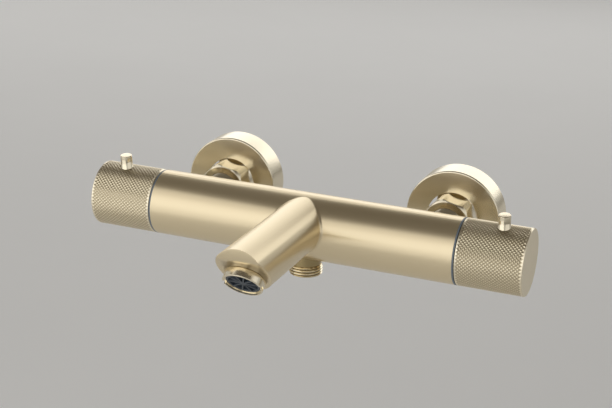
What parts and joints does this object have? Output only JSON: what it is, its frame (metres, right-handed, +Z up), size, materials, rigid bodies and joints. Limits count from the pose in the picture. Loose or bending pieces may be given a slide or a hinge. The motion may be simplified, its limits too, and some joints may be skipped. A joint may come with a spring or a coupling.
{
  "type": "thermostatic bath mixer",
  "caption": "Wall-mounted thermostatic bath mixer: round bar with a knurled handle at each end, cut-off round spout with slanted aerator, shower outlet and round wall covers.",
  "frame": {"origin": "on the wall's face, midway between the two supply pipes", "axes": "+X along the bar towards the temperature handle, +Y into the wall, +Z up"},
  "size_m": [0.274, 0.1922, 0.0602],
  "materials": {
    "gold_brushed": "brushed pale gold plating on brass",
    "gold_polished": "polished pale gold plating on brass",
    "gold_satin": "satin pale gold plating on brass",
    "raw_brass": "plain machined brass",
    "grey_ring": "satin blue-grey glide ring",
    "valve_plastic": "white moulded valve plastic",
    "black_rubber": "black rubber",
    "steel": "bright stainless steel",
    "ceramic": "lapped white ceramic",
    "copper_red": "copper capsule",
    "insert_plastic": "satin blue-grey moulded insert"
  },
  "bodies": {
    "mixer": {"mixer_body": "gold_brushed", "flow_ring": "grey_ring", "temperature_ring": "grey_ring", "flow_retaining_nut": "raw_brass", "temperature_retaining_nut": "raw_brass", "flow_stop_ring": "valve_plastic", "temperature_stop_ring": "valve_plastic", "flow_valve_housing": "valve_plastic", "flow_valve_seals": "black_rubber", "flow_fixed_disc": "ceramic", "flow_port_seal": "black_rubber", "temperature_valve_housing": "valve_plastic", "temperature_valve_seals": "black_rubber", "temperature_valve_foot": "valve_plastic", "shuttle_return_spring": "steel", "hot_inlet_nipple": "gold_polished", "hot_union_nut": "gold_polished", "hot_filter_washer": "black_rubber", "hot_check_valve_housing": "valve_plastic", "hot_check_spring": "steel", "hot_offset_union": "raw_brass", "hot_escutcheon": "gold_polished", "cold_inlet_nipple": "gold_polished", "cold_union_nut": "gold_polished", "cold_filter_washer": "black_rubber", "cold_check_valve_housing": "valve_plastic", "cold_check_spring": "steel", "cold_offset_union": "raw_brass", "cold_escutcheon": "gold_polished", "shower_outlet": "gold_polished", "aerator_shell": "gold_polished", "aerator_insert": "insert_plastic", "aerator_washer": "black_rubber"},
    "flow_control": {"flow_handle": "gold_satin", "flow_handle_adapter": "valve_plastic", "flow_set_screw": "steel", "flow_button_spring": "steel", "flow_spindle": "raw_brass", "flow_spindle_seal": "black_rubber", "flow_moving_disc": "ceramic"},
    "temperature_control": {"temperature_handle": "gold_satin", "temperature_handle_adapter": "valve_plastic", "temperature_set_screw": "steel", "temperature_button_spring": "steel", "temperature_spindle": "raw_brass", "temperature_spindle_seal": "black_rubber"},
    "flow_stop": {"flow_stop_button": "gold_polished"},
    "temperature_stop": {"temperature_stop_button": "gold_polished"},
    "regulator": {"regulating_nut": "valve_plastic", "wax_element": "copper_red", "temperature_shuttle": "valve_plastic"},
    "hot_check": {"hot_check_poppet": "valve_plastic"},
    "cold_check": {"cold_check_poppet": "valve_plastic"}
  },
  "joints": [
    {"name": "flow_turn", "type": "hinge", "parent": "mixer", "child": "flow_control", "pos_m": [-0.117, -0.0715, -0.0075], "axis": [1, 0, 0], "range_deg": [-90, 90]},
    {"name": "temperature_turn", "type": "hinge", "parent": "mixer", "child": "temperature_control", "pos_m": [0.117, -0.0715, -0.0075], "axis": [1, 0, 0], "range_deg": [-75, 180]},
    {"name": "flow_stop_press", "type": "slide", "parent": "flow_control", "child": "flow_stop", "axis": [0, 0.1392, -0.9903], "range_m": [0, 0.0025], "stiffness_N_per_m": 900, "springref_m": -0.002, "deforming": ["flow_button_spring"]},
    {"name": "temperature_stop_press", "type": "slide", "parent": "temperature_control", "child": "temperature_stop", "axis": [0, 0.1392, -0.9903], "range_m": [0, 0.0025], "stiffness_N_per_m": 900, "springref_m": -0.002, "deforming": ["temperature_button_spring"]},
    {"name": "regulator_slide", "type": "slide", "parent": "mixer", "child": "regulator", "axis": [1, 0, 0], "range_m": [-0.00027, 0.00063], "deforming": ["shuttle_return_spring"]},
    {"name": "hot_check_open", "type": "slide", "parent": "mixer", "child": "hot_check", "axis": [0, -1, 0], "range_m": [0, 0.0025], "stiffness_N_per_m": 300, "springref_m": -0.002, "deforming": ["hot_check_spring"]},
    {"name": "cold_check_open", "type": "slide", "parent": "mixer", "child": "cold_check", "axis": [0, -1, 0], "range_m": [0, 0.0025], "stiffness_N_per_m": 300, "springref_m": -0.002, "deforming": ["cold_check_spring"]}
  ],
  "couplings": [
    {"joint": "regulator_slide", "follows": "temperature_turn", "m_per_rad": 0.00019894}
  ]
}
